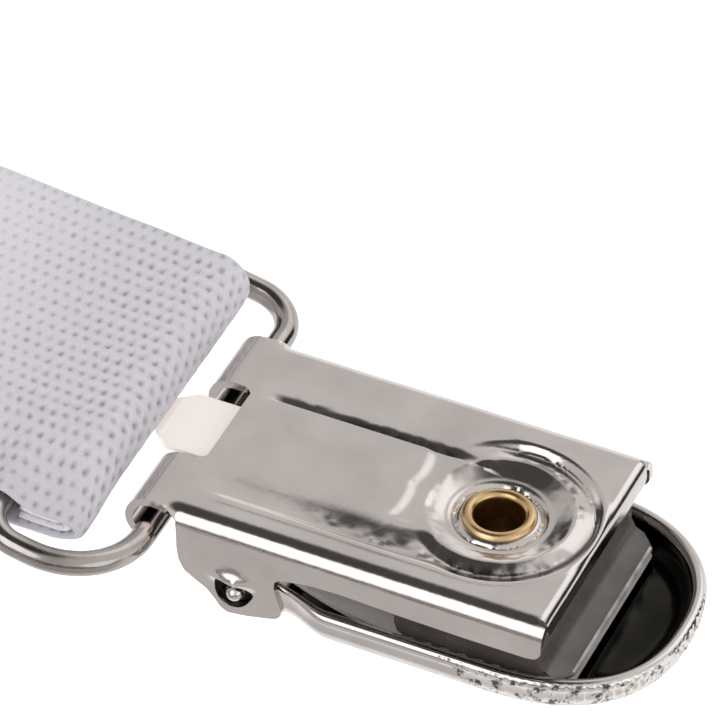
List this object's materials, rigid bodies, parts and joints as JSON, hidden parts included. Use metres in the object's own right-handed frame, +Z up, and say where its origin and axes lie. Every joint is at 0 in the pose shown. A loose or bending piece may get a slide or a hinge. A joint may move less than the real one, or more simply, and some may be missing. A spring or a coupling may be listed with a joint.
{
  "type": "suspenders",
  "caption": "Y-back suspenders of elastic webbing with lever clips on wire rings, slide adjusters and a leather back patch, folded flat.",
  "frame": {"origin": "centre of the bottom of the bounding box, on the surface the folded set lies on", "axes": "+X from the webbing towards the clip jaws, +Z up"},
  "size_m": [0.3324, 0.1196, 0.013],
  "materials": {
    "webbing": "white knitted elastic",
    "nickel": "polished nickel plate",
    "spring_steel": "nickel-plated spring steel",
    "brass": "satin brass",
    "insert": "smoky dark plastic",
    "leather": "tan leather, semi-gloss",
    "thread": "polyester thread"
  },
  "bodies": {
    "webbing": {"strap_left": "webbing", "strap_right": "webbing", "strap_back": "webbing", "return_left": "webbing", "return_right": "webbing", "bartack_back": "thread", "patch_outer": "leather", "patch_backing": "leather", "patch_stitching": "thread"},
    "adjuster_left": {"slider_left": "nickel", "return_end_left": "webbing", "bartack_left": "thread"},
    "adjuster_right": {"slider_right": "nickel", "return_end_right": "webbing", "bartack_right": "thread"},
    "ring_left": {"ring_left": "nickel"},
    "clip_left": {"cover_left": "nickel", "insert_left": "insert", "eyelet_left": "brass"},
    "jaw_left": {"leaf_left": "spring_steel"},
    "lever_left": {"lever_left": "nickel"},
    "ring_right": {"ring_right": "nickel"},
    "clip_right": {"cover_right": "nickel", "insert_right": "insert", "eyelet_right": "brass"},
    "jaw_right": {"leaf_right": "spring_steel"},
    "lever_right": {"lever_right": "nickel"},
    "ring_back": {"ring_back": "nickel"},
    "clip_back": {"cover_back": "nickel", "insert_back": "insert", "eyelet_back": "brass"},
    "jaw_back": {"leaf_back": "spring_steel"},
    "lever_back": {"lever_back": "nickel"}
  },
  "joints": [
    {"name": "slide_left", "type": "slide", "parent": "webbing", "child": "adjuster_left", "axis": [1, 0, 0], "range_m": [0, 0.03], "deforming": ["return_left"]},
    {"name": "slide_right", "type": "slide", "parent": "webbing", "child": "adjuster_right", "axis": [1, 0, 0], "range_m": [0, 0.03], "deforming": ["return_right"]},
    {"name": "ring_hinge_left", "type": "hinge", "parent": "webbing", "child": "ring_left", "pos_m": [0.12449, 0.044, 0.00675], "axis": [0, -1, 0], "range_deg": [0, 100]},
    {"name": "clip_hinge_left", "type": "hinge", "parent": "ring_left", "child": "clip_left", "pos_m": [0.13307, 0.044, 0.00504], "axis": [0, -1, 0], "range_deg": [-40, 75]},
    {"name": "lever_hinge_left", "type": "hinge", "parent": "clip_left", "child": "lever_left", "pos_m": [0.139, 0.044, 0.00191], "axis": [0, 1, 0], "range_deg": [0, 95]},
    {"name": "jaw_flex_left", "type": "hinge", "parent": "clip_left", "child": "jaw_left", "pos_m": [0.13307, 0.044, 0.00504], "axis": [0, 1, 0], "range_deg": [0, 9]},
    {"name": "ring_hinge_right", "type": "hinge", "parent": "webbing", "child": "ring_right", "pos_m": [0.12449, -0.044, 0.00675], "axis": [0, -1, 0], "range_deg": [0, 100]},
    {"name": "clip_hinge_right", "type": "hinge", "parent": "ring_right", "child": "clip_right", "pos_m": [0.13307, -0.044, 0.00504], "axis": [0, -1, 0], "range_deg": [-40, 75]},
    {"name": "lever_hinge_right", "type": "hinge", "parent": "clip_right", "child": "lever_right", "pos_m": [0.139, -0.044, 0.00191], "axis": [0, 1, 0], "range_deg": [0, 95]},
    {"name": "jaw_flex_right", "type": "hinge", "parent": "clip_right", "child": "jaw_right", "pos_m": [0.13307, -0.044, 0.00504], "axis": [0, 1, 0], "range_deg": [0, 9]},
    {"name": "ring_hinge_back", "type": "hinge", "parent": "webbing", "child": "ring_back", "pos_m": [0.12432, 0, 0.0017], "axis": [0, -1, 0], "range_deg": [0, 50]},
    {"name": "clip_hinge_back", "type": "hinge", "parent": "ring_back", "child": "clip_back", "pos_m": [0.13307, 0, 0.00207], "axis": [0, -1, 0], "range_deg": [-40, 40]},
    {"name": "lever_hinge_back", "type": "hinge", "parent": "clip_back", "child": "lever_back", "pos_m": [0.139, 0, 0.00519], "axis": [0, -1, 0], "range_deg": [0, 95]},
    {"name": "jaw_flex_back", "type": "hinge", "parent": "clip_back", "child": "jaw_back", "pos_m": [0.13307, 0, 0.00207], "axis": [0, -1, 0], "range_deg": [0, 9]}
  ],
  "couplings": [
    {"joint": "jaw_flex_left", "follows": "lever_hinge_left", "ratio": 0.07361},
    {"joint": "jaw_flex_right", "follows": "lever_hinge_right", "ratio": 0.07361},
    {"joint": "jaw_flex_back", "follows": "lever_hinge_back", "ratio": 0.07361}
  ]
}
